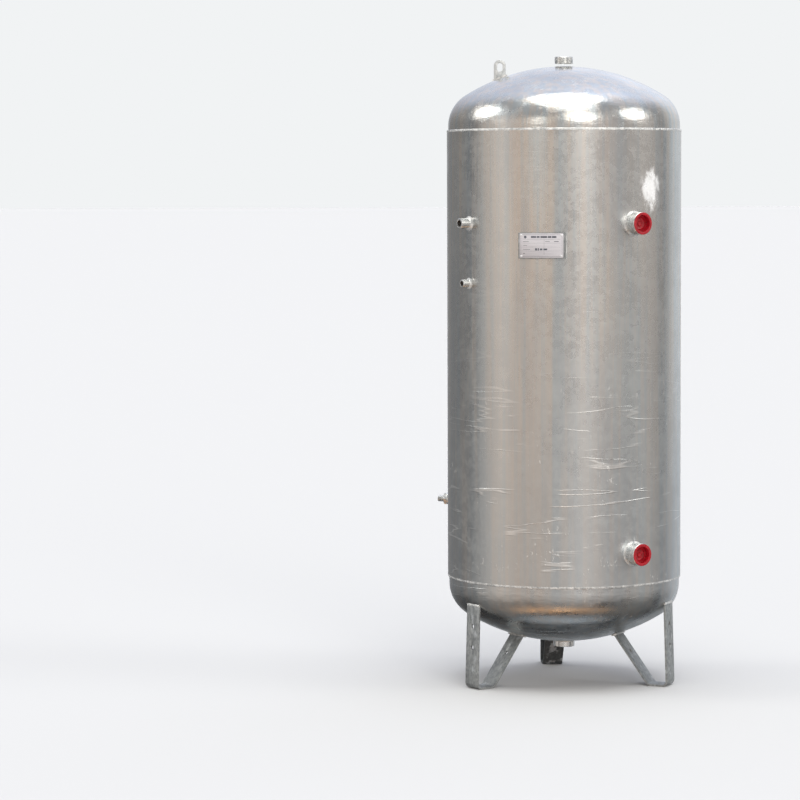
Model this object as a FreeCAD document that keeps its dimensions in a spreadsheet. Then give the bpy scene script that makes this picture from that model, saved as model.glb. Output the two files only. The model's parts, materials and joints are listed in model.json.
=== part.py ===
import FreeCAD, Part
import math
import os

import Sketcher
from FreeCAD import Vector

# Vertical air receiver tank: a galvanised pressure vessel on three bent flat-bar legs.
# Millimetres, +Z up. The origin is on the floor under the tank's axis, -Y is the nameplate side.
# Angles are counter-clockwise from +X, seen from above.

doc = FreeCAD.newDocument("air_receiver")
sheet = doc.addObject("Spreadsheet::Sheet", "sizes")

driving_sizes = {
    # shell and dished heads (torispherical, proportions of the outside diameter)
    "shell_radius": 375.0,
    "shell_wall": 4.0,
    "shell_length": 1421.0,
    "shell_base": 345.0,
    "head_wall": 4.0,
    "head_gap": 0.25,
    "head_lap": 20.0,
    "crown_share": 0.8,
    "knuckle_share": 0.154,
    "top_flange": 19.5,
    "bottom_flange": 28.0,
    # welds
    "weld_gap": 0.3,
    "weld_leg": 6.0,
    "girth_bead": 7.0,
    "girth_bulge": 1.2,
    "girth_shoulder": 4.2,
    "weld_round": 1.0,
    "seam_angle": 62.0,
    "seam_bead_radius": 11.0,
    "seam_height": 1.2,
    # threaded nipple on the top head
    "nipple_radius": 29.8,
    "nipple_wall": 3.8,
    "nipple_reach": 31.0,
    "nipple_neck_radius": 28.4,
    "nipple_thread_length": 22.0,
    "nipple_chamfer": 1.5,
    "nipple_stub": 10.0,
    # capped outlet sockets
    "outlet_angle": 305.8,
    "upper_outlet_drop": 290.0,
    "lower_outlet_rise": 98.0,
    "outlet_bore": 28.33,
    "outlet_wall": 6.67,
    "outlet_reach": 42.0,
    "socket_stub": 6.0,
    "socket_chamfer": 1.5,
    # plastic caps in the outlets
    "cap_gap": 0.3,
    "cap_wall": 2.0,
    "cap_depth": 18.0,
    "cap_rim": 2.0,
    "cap_rim_inset": 0.5,
    # small sockets on the left
    "instrument_angle": 217.3,
    "gauge_drop": 289.5,
    "gauge_bore": 9.315,
    "gauge_wall": 7.185,
    "gauge_reach": 37.0,
    "gauge_thread": 33.0,
    "gauge_pilot": 8.0,
    "gauge_weld_leg": 8.5,
    "switch_drop": 478.0,
    "switch_bore": 7.475,
    "switch_wall": 5.025,
    "switch_reach": 28.0,
    "switch_thread": 24.0,
    "switch_pilot": 6.0,
    "switch_weld_leg": 7.0,
    # inlet at the left rear
    "inlet_angle": 163.0,
    "inlet_rise": 229.0,
    "inlet_bore": 15.145,
    "inlet_wall": 4.855,
    "inlet_reach": 22.0,
    "adapter_gap": 0.15,
    "adapter_stub": 16.0,
    "adapter_hex_flats": 36.0,
    "adapter_hex_length": 10.0,
    "adapter_end_radius": 10.45,
    "adapter_end_length": 22.0,
    "adapter_bore": 7.0,
    "adapter_shoulder": 1.0,
    "adapter_chamfer": 1.0,
    # drain socket under the bottom head
    "drain_bore": 28.33,
    "drain_wall": 6.67,
    "drain_reach": 21.0,
    # lifting eye
    "eye_angle": 180.0,
    "eye_offset": 204.7,
    "eye_width": 38.4,
    "eye_thickness": 8.0,
    "eye_height": 59.0,
    "eye_slot_width": 18.0,
    "eye_slot_length": 27.0,
    "eye_root": 12.0,
    # nameplate and bracket
    "plate_angle": 259.7,
    "plate_drop": 357.0,
    "plate_width": 138.0,
    "plate_length": 76.0,
    "plate_thickness": 1.0,
    "bracket_side_margin": 4.0,
    "bracket_end_margin": 2.0,
    "bracket_wall": 2.0,
    "bracket_clearance": 9.5,
    "bracket_bead": 3.5,
    "rivet_inset": 6.0,
    "rivet_radius": 1.6,
    "rivet_hole_gap": 0.1,
    "rivet_head_radius": 3.2,
    "rivet_head_height": 1.6,
    "rivet_shoulder_radius": 2.784,
    "rivet_crown_radius": 1.28,
    # legs
    "rear_leg_angle": 97.3,
    "bar_width": 65.0,
    "bar_thickness": 6.0,
    "bend_radius": 12.0,
    "leg_inset": 9.0,
    "foot_inset": 0.9,
    "leg_seat": 3.0,
    "foot_length": 68.0,
    "brace_angle": 53.5,
    "leg_hole_radius": 7.0,
    "lower_leg_hole": 132.5,
    "upper_leg_hole": 199.5,
    "brace_hole_radius": 6.5,
    "brace_hole_height": 105.0,
    "anchor_radius": 7.0,
    "strip_bead": 8.0,
    "strip_bead_overlap": 0.8,
    "strip_bead_side": 3.6,
    "strip_bead_toe": 0.8,
    "strip_bead_inset": 0.5,
    "brace_bead": 5.0,
}

for row, (alias, number) in enumerate(driving_sizes.items(), start=1):
    cell = f"A{row}"
    sheet.set(cell, str(number))
    sheet.setAlias(cell, alias)
doc.recompute()


def value(formula):
    """The number a formula of the sheet gives now."""
    return float(sheet.evalExpression(formula))


# ---------------------------------------------------------------- shared formulas
head_radius = "(sizes.shell_radius - sizes.shell_wall - sizes.head_gap)"
crown_radius = f"(2 * sizes.crown_share * {head_radius})"
knuckle_radius = f"(2 * sizes.knuckle_share * {head_radius})"
knuckle_centre = f"({head_radius} - {knuckle_radius})"
crown_depth = f"sqrt(({crown_radius} - {knuckle_radius})^2 - {knuckle_centre}^2)"
head_rise = f"({crown_radius} - {crown_depth})"

shell_top = "(sizes.shell_base + sizes.shell_length)"
top_tangent = f"({shell_top} + sizes.top_flange)"
top_apex = f"({top_tangent} + {head_rise})"
bottom_tangent = "(sizes.shell_base - sizes.bottom_flange)"
bottom_apex = f"({bottom_tangent} - {head_rise})"
drain_radius = "(sizes.drain_bore + sizes.drain_wall)"

# Heights of what is on the shell, measured from its upper or its lower edge.
upper_outlet_height = f"({shell_top} - sizes.upper_outlet_drop)"
lower_outlet_height = "(sizes.shell_base + sizes.lower_outlet_rise)"
gauge_height = f"({shell_top} - sizes.gauge_drop)"
switch_height = f"({shell_top} - sizes.switch_drop)"
inlet_height = "(sizes.shell_base + sizes.inlet_rise)"
plate_height = f"({shell_top} - sizes.plate_drop)"


def placed(height="0", turn="0", flip="0"):
    """A part lifted to a height, turned about the tank's axis, or flipped upside down."""
    turned = f"rotation(vector(0; 0; 1); {turn} * 1deg)"
    flipped = f"rotation(vector(1; 0; 0); {flip} * 1deg)"
    return f"placement(vector(0; 0; {height}); {turned} * {flipped})"


def moved(along="0", across="0", up="0", axis="(0; 1; 0)", lean="0"):
    """A step within a part's own frame: outwards, sideways and up, then leaned over."""
    return f"placement(vector({along}; {across}; {up}); rotation(vector{axis}; {lean} * 1deg))"


def bound(part, place=None, **lengths):
    """Ties properties of an object to formulas of the sheet."""
    for name, formula in lengths.items():
        part.setExpression(name, formula)
    if place:
        part.setExpression("Placement", place)
    return part


def new_object(kind, label):
    part = doc.addObject(kind, label)
    part.Label = label
    return part


def cylinder(label, radius, height, place):
    return bound(new_object("Part::Cylinder", label), place, Radius=radius, Height=height)


def box(label, length, width, height, place):
    return bound(new_object("Part::Box", label), place, Length=length, Width=width, Height=height)


def cut(label, base, tool, place=None):
    result = new_object("Part::Cut", label)
    result.Base = base
    result.Tool = tool
    return bound(result, place)


def common(label, base, tool):
    result = new_object("Part::Common", label)
    result.Base = base
    result.Tool = tool
    return result


def fuse(label, shapes, place=None):
    result = new_object("Part::MultiFuse", label)
    result.Shapes = shapes
    return bound(result, place)


def origin_plane(body, role):
    return next(part for part in body.Origin.OriginFeatures if part.Role == role)


def new_sketch(body, name):
    """A sketch on the body's own XZ plane: across is the body's X, up is its Z."""
    sketch = body.newObject("Sketcher::SketchObject", name)
    sketch.AttachmentSupport = [(origin_plane(body, "XZ_Plane"), "")]
    sketch.MapMode = "FlatFace"
    return sketch


def place_point(sketch, geometry, point, across, up):
    """Fixes one sketch point at two formulas; a zero puts it on the sketch's axis."""
    for formula, direction, axis in ((across, "DistanceX", -2), (up, "DistanceY", -1)):
        if formula == "0":
            sketch.addConstraint(Sketcher.Constraint("PointOnObject", geometry, point, axis))
        else:
            rule = Sketcher.Constraint(direction, -1, 1, geometry, point, value(formula))
            number = sketch.addConstraint(rule)
            sketch.setExpression(f"Constraints[{number}]", formula)


def draw_outline(sketch, corners):
    """A closed outline of straight lines through corners given as formulas."""
    points = [Vector(value(across), value(up), 0) for across, up in corners]
    for index, point in enumerate(points):
        sketch.addGeometry(Part.LineSegment(point, points[(index + 1) % len(points)]), False)
    for index, (across, up) in enumerate(corners):
        following = (index + 1) % len(corners)
        sketch.addConstraint(Sketcher.Constraint("Coincident", index, 2, following, 1))
        place_point(sketch, index, 1, across, up)


def spin(body, sketch, axis):
    turn = body.newObject("PartDesign::Revolution", f"{body.Name}_turn")
    turn.Profile = sketch
    turn.ReferenceAxis = (sketch, [axis])
    turn.Angle = 360
    return turn


def turned_part(label, corners, axis, place=None):
    """A body spun about its own X ("H_Axis") or Z ("V_Axis") from a straight-sided outline."""
    body = new_object("PartDesign::Body", label)
    sketch = new_sketch(body, f"{label}_outline")
    draw_outline(sketch, corners)
    spin(body, sketch, axis)
    return bound(body, place)


def flat_part(label, corners, width):
    """A body with a straight-sided outline, as wide as `width` about the XZ plane."""
    body = new_object("PartDesign::Body", label)
    sketch = new_sketch(body, f"{label}_outline")
    draw_outline(sketch, corners)
    pad = body.newObject("PartDesign::Pad", f"{label}_pad")
    pad.Profile = sketch
    pad.Midplane = True
    pad.setExpression("Length", width)
    return body


# ---------------------------------------------------------------- dished heads
def draw_arc(sketch, centre_across, centre_up, radius, start, end):
    circle = Part.Circle(Vector(centre_across, centre_up, 0), Vector(0, 0, 1), radius)
    return sketch.addGeometry(Part.ArcOfCircle(circle, start, end), False)


def draw_line(sketch, start, end):
    return sketch.addGeometry(Part.LineSegment(Vector(*start, 0), Vector(*end, 0)), False)


def draw_size(sketch, kind, arguments, formula):
    rule = Sketcher.Constraint(kind, *arguments, value(formula))
    number = sketch.addConstraint(rule)
    sketch.setExpression(f"Constraints[{number}]", formula)


def draw_dome(sketch, grow, skirt, hole):
    """Crown and knuckle arcs, meeting smoothly, over a straight flange.

    The tangent line of the head is at height 0. With a hole the outline is a wall of head_wall
    that starts at the hole; without one it is closed on the axis and makes a solid.
    """
    rim = value(f"{head_radius} + {grow}")
    crown = value(f"{crown_radius} + {grow}")
    knuckle = value(f"{knuckle_radius} + {grow}")
    middle = value(knuckle_centre)
    depth = value(crown_depth)
    drop = value(skirt)
    joint = math.atan2(depth, middle)
    wall = value("sizes.head_wall")
    inner_edge = value(hole) if hole else 0.0

    outer_crown = draw_arc(sketch, 0, -depth, crown, joint, math.acos(inner_edge / crown))
    outer_knuckle = draw_arc(sketch, middle, 0, knuckle, 0, joint)
    outer_flange = draw_line(sketch, (rim, 0), (rim, -drop))
    inner_foot = rim - wall if hole else 0.0
    foot = draw_line(sketch, (rim, -drop), (inner_foot, -drop))

    def rule(*arguments):
        sketch.addConstraint(Sketcher.Constraint(*arguments))

    rule("Tangent", outer_crown, 1, outer_knuckle, 2)
    rule("Tangent", outer_knuckle, 1, outer_flange, 1)
    rule("Vertical", outer_flange)
    rule("Coincident", outer_flange, 2, foot, 1)
    rule("Horizontal", foot)
    rule("PointOnObject", outer_crown, 3, -2)
    rule("PointOnObject", outer_knuckle, 3, -1)
    draw_size(sketch, "Radius", (outer_crown,), f"{crown_radius} + {grow}")
    draw_size(sketch, "Radius", (outer_knuckle,), f"{knuckle_radius} + {grow}")
    draw_size(sketch, "DistanceX", (-1, 1, outer_flange, 1), f"{head_radius} + {grow}")
    draw_size(sketch, "DistanceY", (outer_flange, 2, outer_flange, 1), skirt)

    if not hole:
        axis_line = draw_line(sketch, (0, -drop), (0, crown - depth))
        rule("Coincident", foot, 2, axis_line, 1)
        rule("Coincident", axis_line, 2, outer_crown, 2)
        rule("Vertical", axis_line)
        rule("PointOnObject", axis_line, 1, -2)
        return

    inner_flange = draw_line(sketch, (rim - wall, -drop), (rim - wall, 0))
    inner_knuckle = draw_arc(sketch, middle, 0, knuckle - wall, 0, joint)
    inner_crown = draw_arc(sketch, 0, -depth, crown - wall, joint, math.acos(inner_edge / crown))
    inner_top = math.sqrt((crown - wall) ** 2 - inner_edge ** 2) - depth
    outer_top = math.sqrt(crown ** 2 - inner_edge ** 2) - depth
    hole_wall = draw_line(sketch, (inner_edge, inner_top), (inner_edge, outer_top))
    rule("Coincident", foot, 2, inner_flange, 1)
    rule("Vertical", inner_flange)
    rule("Tangent", inner_flange, 2, inner_knuckle, 1)
    rule("Tangent", inner_knuckle, 2, inner_crown, 1)
    rule("Coincident", inner_knuckle, 3, outer_knuckle, 3)
    rule("Coincident", inner_crown, 3, outer_crown, 3)
    rule("Coincident", inner_crown, 2, hole_wall, 1)
    rule("Coincident", hole_wall, 2, outer_crown, 2)
    rule("Vertical", hole_wall)
    draw_size(sketch, "DistanceX", (foot, 2, foot, 1), "sizes.head_wall")
    draw_size(sketch, "DistanceX", (-1, 1, hole_wall, 1), hole)


def dome(label, skirt, place, grow="0", hole=None):
    body = new_object("PartDesign::Body", label)
    sketch = new_sketch(body, f"{label}_outline")
    draw_dome(sketch, grow, skirt, hole)
    spin(body, sketch, "V_Axis")
    return bound(body, place)


top_skirt = "(sizes.top_flange + sizes.head_lap)"
bottom_skirt = "(sizes.bottom_flange + sizes.head_lap)"
top_place = placed(top_tangent)
bottom_place = placed(bottom_tangent, flip="180")

dome("top_head", top_skirt, top_place, hole="(sizes.nipple_radius + sizes.weld_gap)")
dome("bottom_head", bottom_skirt, bottom_place, hole=f"({drain_radius} + sizes.weld_gap)")

# Solid copies of the heads, and of the heads grown by a weld's throat, that trim what meets them.
top_solid = dome("top_solid", top_skirt, top_place)
bottom_solid = dome("bottom_solid", bottom_skirt, bottom_place)
top_weld_zone = dome("top_weld_zone", top_skirt, top_place, grow="sizes.brace_bead")
bottom_weld_zone = dome("bottom_weld_zone", bottom_skirt, bottom_place, grow="sizes.brace_bead")

# ---------------------------------------------------------------- shell and its sockets
shell_solid = cylinder("shell_solid", "sizes.shell_radius", "sizes.shell_length",
                       placed("sizes.shell_base"))
shell_hollow = cylinder("shell_hollow", "sizes.shell_radius - sizes.shell_wall",
                        "sizes.shell_length", placed("sizes.shell_base"))
shell_tube = cut("shell_tube", shell_solid, shell_hollow)

# name: (prefix of its sizes, angle, height, leg of its weld)
shell_sockets = {
    "upper_outlet": ("outlet", "sizes.outlet_angle", upper_outlet_height, "sizes.weld_leg"),
    "lower_outlet": ("outlet", "sizes.outlet_angle", lower_outlet_height, "sizes.weld_leg"),
    "gauge": ("gauge", "sizes.instrument_angle", gauge_height, "sizes.gauge_weld_leg"),
    "switch": ("switch", "sizes.instrument_angle", switch_height, "sizes.switch_weld_leg"),
    "inlet": ("inlet", "sizes.inlet_angle", inlet_height, "sizes.weld_leg"),
}


def socket_outline(start, face, bore, radius):
    """A half coupling: a thick ring, chamfered outside and inside at its open face."""
    bevel = "sizes.socket_chamfer"
    return [
        (start, bore),
        (start, radius),
        (f"{face} - {bevel}", radius),
        (face, f"{radius} - {bevel}"),
        (face, f"{bore} + {bevel}"),
        (f"{face} - {bevel}", bore),
    ]


def boss_outline(start, face, family, radius):
    """A turned boss: tapped to a depth from its face, with a narrower hole drilled through."""
    tapped = socket_outline(start, face, f"sizes.{family}_bore", radius)
    thread_end = f"({face} - sizes.{family}_thread)"
    return [
        (start, f"sizes.{family}_pilot"),
        *tapped[1:],
        (thread_end, f"sizes.{family}_bore"),
        (thread_end, f"sizes.{family}_pilot"),
    ]


def fillet_outline(foot, radius, leg):
    """A triangular bead round a socket; its foot is buried in the wall and trimmed off."""
    sunk = f"{foot} - {leg}"
    return [
        (sunk, radius),
        (sunk, f"{radius} + {leg}"),
        (f"{foot} + sizes.weld_round", f"{radius} + {leg} - sizes.weld_round"),
        (f"{foot} + {leg}", f"{radius} + sizes.weld_round"),
        (f"{foot} + {leg}", radius),
    ]


socket_holes = []
for socket, (family, angle, height, leg) in shell_sockets.items():
    radius = f"(sizes.{family}_bore + sizes.{family}_wall)"
    place = placed(height, angle)
    face = f"(sizes.shell_radius + sizes.{family}_reach)"
    start = "(sizes.shell_radius - sizes.shell_wall - sizes.socket_stub)"
    hole = cylinder(f"{socket}_hole", f"{radius} + sizes.weld_gap", face,
                    f"{place} * {moved(lean='90')}")
    socket_holes.append(hole)
    if family in ("gauge", "switch"):
        outline = boss_outline(start, face, family, radius)
    else:
        outline = socket_outline(start, face, f"sizes.{family}_bore", radius)
    turned_part(f"{socket}_socket", outline, "H_Axis", place)
    bead = turned_part(f"{socket}_bead", fillet_outline("sizes.shell_radius", radius, leg),
                       "H_Axis", place)
    cut(f"{socket}_socket_weld", bead, shell_solid)

cut("shell", shell_tube, fuse("socket_holes", socket_holes))

seam_centre = "(sizes.shell_radius + sizes.seam_height - sizes.seam_bead_radius)"
seam_bead = cylinder("seam_bead", "sizes.seam_bead_radius", "sizes.shell_length",
                     f"{placed('sizes.shell_base', 'sizes.seam_angle')} * {moved(seam_centre)}")
cut("longitudinal_weld", seam_bead, shell_solid)

girth_outline = [
    (head_radius, "0"),
    ("sizes.shell_radius + sizes.girth_bulge", "0"),
    ("sizes.shell_radius", "sizes.girth_shoulder"),
    (f"{head_radius} + sizes.weld_round", "sizes.girth_bead"),
    (head_radius, "sizes.girth_bead"),
]
turned_part("top_girth_weld", girth_outline, "V_Axis", placed(shell_top))
turned_part("bottom_girth_weld", girth_outline, "V_Axis", placed("sizes.shell_base", flip="180"))

# ---------------------------------------------------------------- caps in the outlets
cap_face = "(sizes.shell_radius + sizes.outlet_reach + sizes.cap_gap)"
cap_plug = "(sizes.outlet_bore - sizes.cap_gap)"
cap_bottom = f"({cap_face} - sizes.cap_depth)"
cap_front = f"({cap_face} + sizes.cap_rim)"
cap_rim_radius = "(sizes.outlet_bore + sizes.outlet_wall - sizes.cap_rim_inset)"
cap_outline = [
    (cap_bottom, "0"),
    (cap_bottom, cap_plug),
    (cap_face, cap_plug),
    (cap_face, cap_rim_radius),
    (cap_front, cap_rim_radius),
    (cap_front, f"{cap_plug} - sizes.cap_wall"),
    (f"{cap_bottom} + sizes.cap_wall", f"{cap_plug} - sizes.cap_wall"),
    (f"{cap_bottom} + sizes.cap_wall", "0"),
]
for side, height in (("upper", upper_outlet_height), ("lower", lower_outlet_height)):
    turned_part(f"{side}_outlet_cap", cap_outline, "H_Axis", placed(height, "sizes.outlet_angle"))

# ---------------------------------------------------------------- hose adapter in the inlet
inlet_place = placed(inlet_height, "sizes.inlet_angle")
inlet_face = "(sizes.shell_radius + sizes.inlet_reach)"
hex_end = f"({inlet_face} + sizes.adapter_hex_length)"
adapter_tip = f"({hex_end} + sizes.adapter_end_length)"
adapter_outline = [
    (f"{inlet_face} - sizes.adapter_stub", "sizes.adapter_bore"),
    (f"{inlet_face} - sizes.adapter_stub", "sizes.inlet_bore - sizes.adapter_gap"),
    (f"{inlet_face}", "sizes.inlet_bore - sizes.adapter_gap"),
    (f"{inlet_face}", "sizes.inlet_bore + sizes.adapter_shoulder"),
    (hex_end, "sizes.inlet_bore + sizes.adapter_shoulder"),
    (hex_end, "sizes.adapter_end_radius"),
    (f"{adapter_tip} - sizes.adapter_chamfer", "sizes.adapter_end_radius"),
    (adapter_tip, "sizes.adapter_end_radius - sizes.adapter_chamfer"),
    (adapter_tip, "sizes.adapter_bore"),
]
adapter_core = turned_part("adapter_core", adapter_outline, "H_Axis", inlet_place)
adapter_hex = new_object("Part::Prism", "adapter_hex")
adapter_hex.Polygon = 6
bound(adapter_hex, f"{inlet_place} * {moved(inlet_face, lean='90')}",
      Circumradius="sizes.adapter_hex_flats / sqrt(3)", Height="sizes.adapter_hex_length")
adapter_hollow = cylinder("adapter_hollow", "sizes.adapter_bore", adapter_tip,
                          f"{inlet_place} * {moved(lean='90')}")
cut("inlet_adapter", fuse("adapter_blank", [adapter_core, adapter_hex]), adapter_hollow)

# ---------------------------------------------------------------- nipple and drain on the axis
nipple_bore = "(sizes.nipple_radius - sizes.nipple_wall)"
nipple_top = f"({top_apex} + sizes.nipple_reach)"
thread_start = f"({nipple_top} - sizes.nipple_thread_length)"
nipple_neck = "sizes.nipple_neck_radius"
nipple_root = f"({top_apex} + sizes.weld_round)"
turned_part("top_nipple", [
    (nipple_bore, f"{top_apex} - sizes.head_wall - sizes.nipple_stub"),
    ("sizes.nipple_radius", f"{top_apex} - sizes.head_wall - sizes.nipple_stub"),
    ("sizes.nipple_radius", nipple_root),
    (nipple_neck, f"{nipple_root} + sizes.nipple_radius - {nipple_neck}"),
    (nipple_neck, f"{thread_start} - sizes.nipple_radius + {nipple_neck}"),
    ("sizes.nipple_radius", thread_start),
    ("sizes.nipple_radius", f"{nipple_top} - sizes.nipple_chamfer"),
    ("sizes.nipple_radius - sizes.nipple_chamfer", nipple_top),
    (nipple_bore, nipple_top),
], "V_Axis")
nipple_bead = turned_part("nipple_bead", [
    ("sizes.nipple_radius", f"{top_apex} - sizes.weld_leg"),
    ("sizes.nipple_radius + sizes.weld_leg", f"{top_apex} - sizes.weld_leg"),
    ("sizes.nipple_radius + sizes.weld_leg - sizes.weld_round", top_apex),
    ("sizes.nipple_radius", nipple_root),
], "V_Axis")
cut("top_nipple_weld", nipple_bead, top_solid)

drain_face = f"({bottom_apex} - sizes.drain_reach)"
drain_start = f"({bottom_apex} + sizes.head_wall + sizes.socket_stub)"
turned_part("drain_socket", [
    ("sizes.drain_bore", drain_start),
    (drain_radius, drain_start),
    (drain_radius, f"{drain_face} + sizes.socket_chamfer"),
    (f"{drain_radius} - sizes.socket_chamfer", drain_face),
    ("sizes.drain_bore + sizes.socket_chamfer", drain_face),
    ("sizes.drain_bore", f"{drain_face} + sizes.socket_chamfer"),
], "V_Axis")
drain_bead = turned_part("drain_bead", [
    (drain_radius, f"{bottom_apex} + sizes.weld_leg"),
    (f"{drain_radius} + sizes.weld_leg", f"{bottom_apex} + sizes.weld_leg"),
    (f"{drain_radius} + sizes.weld_leg - sizes.weld_round", f"{bottom_apex} + sizes.weld_round / 2"),
    (f"{drain_radius} + sizes.weld_round", f"{bottom_apex} - sizes.weld_leg + sizes.weld_round"),
    (drain_radius, f"{bottom_apex} - sizes.weld_leg + sizes.weld_round"),
], "V_Axis")
cut("drain_socket_weld", drain_bead, bottom_solid)

# ---------------------------------------------------------------- lifting eye
eye_place = placed(turn="sizes.eye_angle")
eye_seat = f"({top_tangent} - {crown_depth} + sqrt({crown_radius}^2 - sizes.eye_offset^2))"
eye_top = f"({eye_seat} + sizes.eye_height)"
eye_arc_height = f"({eye_top} - sizes.eye_width / 2)"
eye_foot = f"({eye_seat} - sizes.eye_root)"
eye_stem = box("eye_stem", "sizes.eye_width", "sizes.eye_thickness", f"{eye_arc_height} - {eye_foot}",
               f"{eye_place} * " + moved("sizes.eye_offset - sizes.eye_width / 2",
                                         "-sizes.eye_thickness / 2", eye_foot))


def across_eye(label, radius, height):
    """A round piece right across the eye's plate, on its middle line."""
    step = moved("sizes.eye_offset", "sizes.eye_thickness / 2", height, "(1; 0; 0)", "90")
    return cylinder(label, radius, "sizes.eye_thickness", f"{eye_place} * {step}")


eye_round = across_eye("eye_round", "sizes.eye_width / 2", eye_arc_height)
slot_reach = "(sizes.eye_slot_length / 2 - sizes.eye_slot_width / 2)"
slot_middle = f"({eye_top} - (sizes.eye_width - sizes.eye_slot_width) / 2 - sizes.eye_slot_length / 2)"
slot_upper = across_eye("slot_upper", "sizes.eye_slot_width / 2", f"{slot_middle} + {slot_reach}")
slot_lower = across_eye("slot_lower", "sizes.eye_slot_width / 2", f"{slot_middle} - {slot_reach}")
slot_box = box("slot_box", "sizes.eye_slot_width", "sizes.eye_thickness", f"2 * {slot_reach}",
               f"{eye_place} * " + moved("sizes.eye_offset - sizes.eye_slot_width / 2",
                                         "-sizes.eye_thickness / 2", f"{slot_middle} - {slot_reach}"))
eye_cutter = fuse("eye_cutter", [slot_upper, slot_lower, slot_box, top_solid])
cut("lifting_eye", fuse("eye_blank", [eye_stem, eye_round]), eye_cutter)

eye_collar = box("eye_collar", "sizes.eye_width + 2 * sizes.brace_bead",
                 "sizes.eye_thickness + 2 * sizes.brace_bead", "sizes.eye_height",
                 f"{eye_place} * " + moved("sizes.eye_offset - sizes.eye_width / 2 - sizes.brace_bead",
                                           "-sizes.eye_thickness / 2 - sizes.brace_bead", eye_foot))
cut("lifting_eye_weld", common("eye_weld_band", eye_collar, top_weld_zone),
    fuse("eye_weld_cutter", [eye_stem, top_solid]))

# ---------------------------------------------------------------- nameplate on its bracket
plate_place = placed(plate_height, "sizes.plate_angle")
bracket_width = "(sizes.plate_width + 2 * sizes.bracket_side_margin)"
bracket_length = "(sizes.plate_length + 2 * sizes.bracket_end_margin)"
bracket_back = "(sizes.shell_radius + sizes.bracket_clearance)"
bracket_front = f"({bracket_back} + sizes.bracket_wall)"
bracket_edge = f"sqrt(sizes.shell_radius^2 - ({bracket_width} / 2)^2)"
bracket_start = f"({bracket_edge} - sizes.bracket_wall)"
bracket_block = box("bracket_block", f"{bracket_front} - {bracket_start}", bracket_width,
                    bracket_length,
                    f"{plate_place} * " + moved(bracket_start, f"-{bracket_width} / 2",
                                                f"-{bracket_length} / 2"))
bracket_space = box("bracket_space", f"{bracket_back} - {bracket_start}",
                    f"{bracket_width} - 2 * sizes.bracket_wall", bracket_length,
                    f"{plate_place} * " + moved(bracket_start,
                                                f"-{bracket_width} / 2 + sizes.bracket_wall",
                                                f"-{bracket_length} / 2"))
plate_blank = box("plate_blank", "sizes.plate_thickness", "sizes.plate_width", "sizes.plate_length",
                  f"{plate_place} * " + moved(bracket_front, "-sizes.plate_width / 2",
                                              "-sizes.plate_length / 2"))
plate_front = f"({bracket_front} + sizes.plate_thickness)"
rivet_outline = [
    (f"{bracket_back}", "0"),
    (f"{bracket_back}", "sizes.rivet_radius"),
    (plate_front, "sizes.rivet_radius"),
    (plate_front, "sizes.rivet_head_radius"),
    (f"{plate_front} + 0.5 * sizes.rivet_head_height", "sizes.rivet_shoulder_radius"),
    (f"{plate_front} + sizes.rivet_head_height", "sizes.rivet_crown_radius"),
    (f"{plate_front} + sizes.rivet_head_height", "0"),
]
rivet_holes = []
rivet_sides = [(-1, -1), (1, -1), (-1, 1), (1, 1)]
for number, (side, level) in enumerate(rivet_sides, start=1):
    corner = moved(across=f"{side} * (sizes.plate_width / 2 - sizes.rivet_inset)",
                   up=f"{level} * (sizes.plate_length / 2 - sizes.rivet_inset)")
    turned_part(f"nameplate_rivet_{number}", rivet_outline, "H_Axis", f"{plate_place} * {corner}")
    hole = cylinder(f"rivet_hole_{number}", "sizes.rivet_radius + sizes.rivet_hole_gap",
                    f"{plate_front} + 1", f"{plate_place} * {corner} * {moved(lean='90')}")
    rivet_holes.append(hole)
rivet_drill = fuse("rivet_drill", rivet_holes)
cut("nameplate", plate_blank, rivet_drill)
bracket_cutter = fuse("bracket_cutter", [bracket_space, shell_solid, rivet_drill])
cut("nameplate_bracket", bracket_block, bracket_cutter)

for side_name, side in (("left", "-1"), ("right", "1")):
    edge_step = moved(bracket_edge, f"{side} * {bracket_width} / 2", f"-{bracket_length} / 2")
    bead = cylinder(f"bracket_bead_{side_name}", "sizes.bracket_bead", bracket_length,
                    f"{plate_place} * {edge_step}")
    cut(f"bracket_weld_{side_name}", bead,
        fuse(f"bracket_bead_cutter_{side_name}", [bracket_block, shell_solid]))

# ---------------------------------------------------------------- legs
# Each leg is one flat bar: a strip up the outside to the knuckle, a bent foot, and a brace that
# rises inwards to the underside of the head. It is drawn in the radial plane of +X.
strip_top_radius = f"({head_radius} - sizes.leg_inset)"
strip_inner_radius = f"({strip_top_radius} - sizes.bar_thickness)"
seat_drop = f"sqrt({knuckle_radius}^2 - ({strip_inner_radius} - {knuckle_centre})^2)"
strip_top = f"({bottom_tangent} - {seat_drop} + sizes.leg_seat)"
foot_outer = f"({head_radius} - sizes.foot_inset)"
foot_inner = f"({foot_outer} - sizes.foot_length)"
strip_slope = f"(({foot_outer} - {strip_top_radius}) / {strip_top})"
brace_top = bottom_tangent
brace_run = "tan(sizes.brace_angle * 1deg)"
brace_shift = "(sizes.bar_thickness / sin(sizes.brace_angle * 1deg))"
brace_foot = f"({foot_inner} + {brace_shift} - sizes.bar_thickness / {brace_run})"
leg_outline = [
    (strip_top_radius, strip_top),
    (foot_outer, "0"),
    (foot_inner, "0"),
    (f"{foot_inner} - {brace_top} / {brace_run}", brace_top),
    (f"{foot_inner} + {brace_shift} - {brace_top} / {brace_run}", brace_top),
    (brace_foot, "sizes.bar_thickness"),
    (f"{foot_outer} - sizes.bar_thickness * (1 + {strip_slope})", "sizes.bar_thickness"),
    (strip_inner_radius, strip_top),
]
leg_bar = flat_part("leg_bar", leg_outline, "sizes.bar_width")
doc.recompute()


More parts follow.
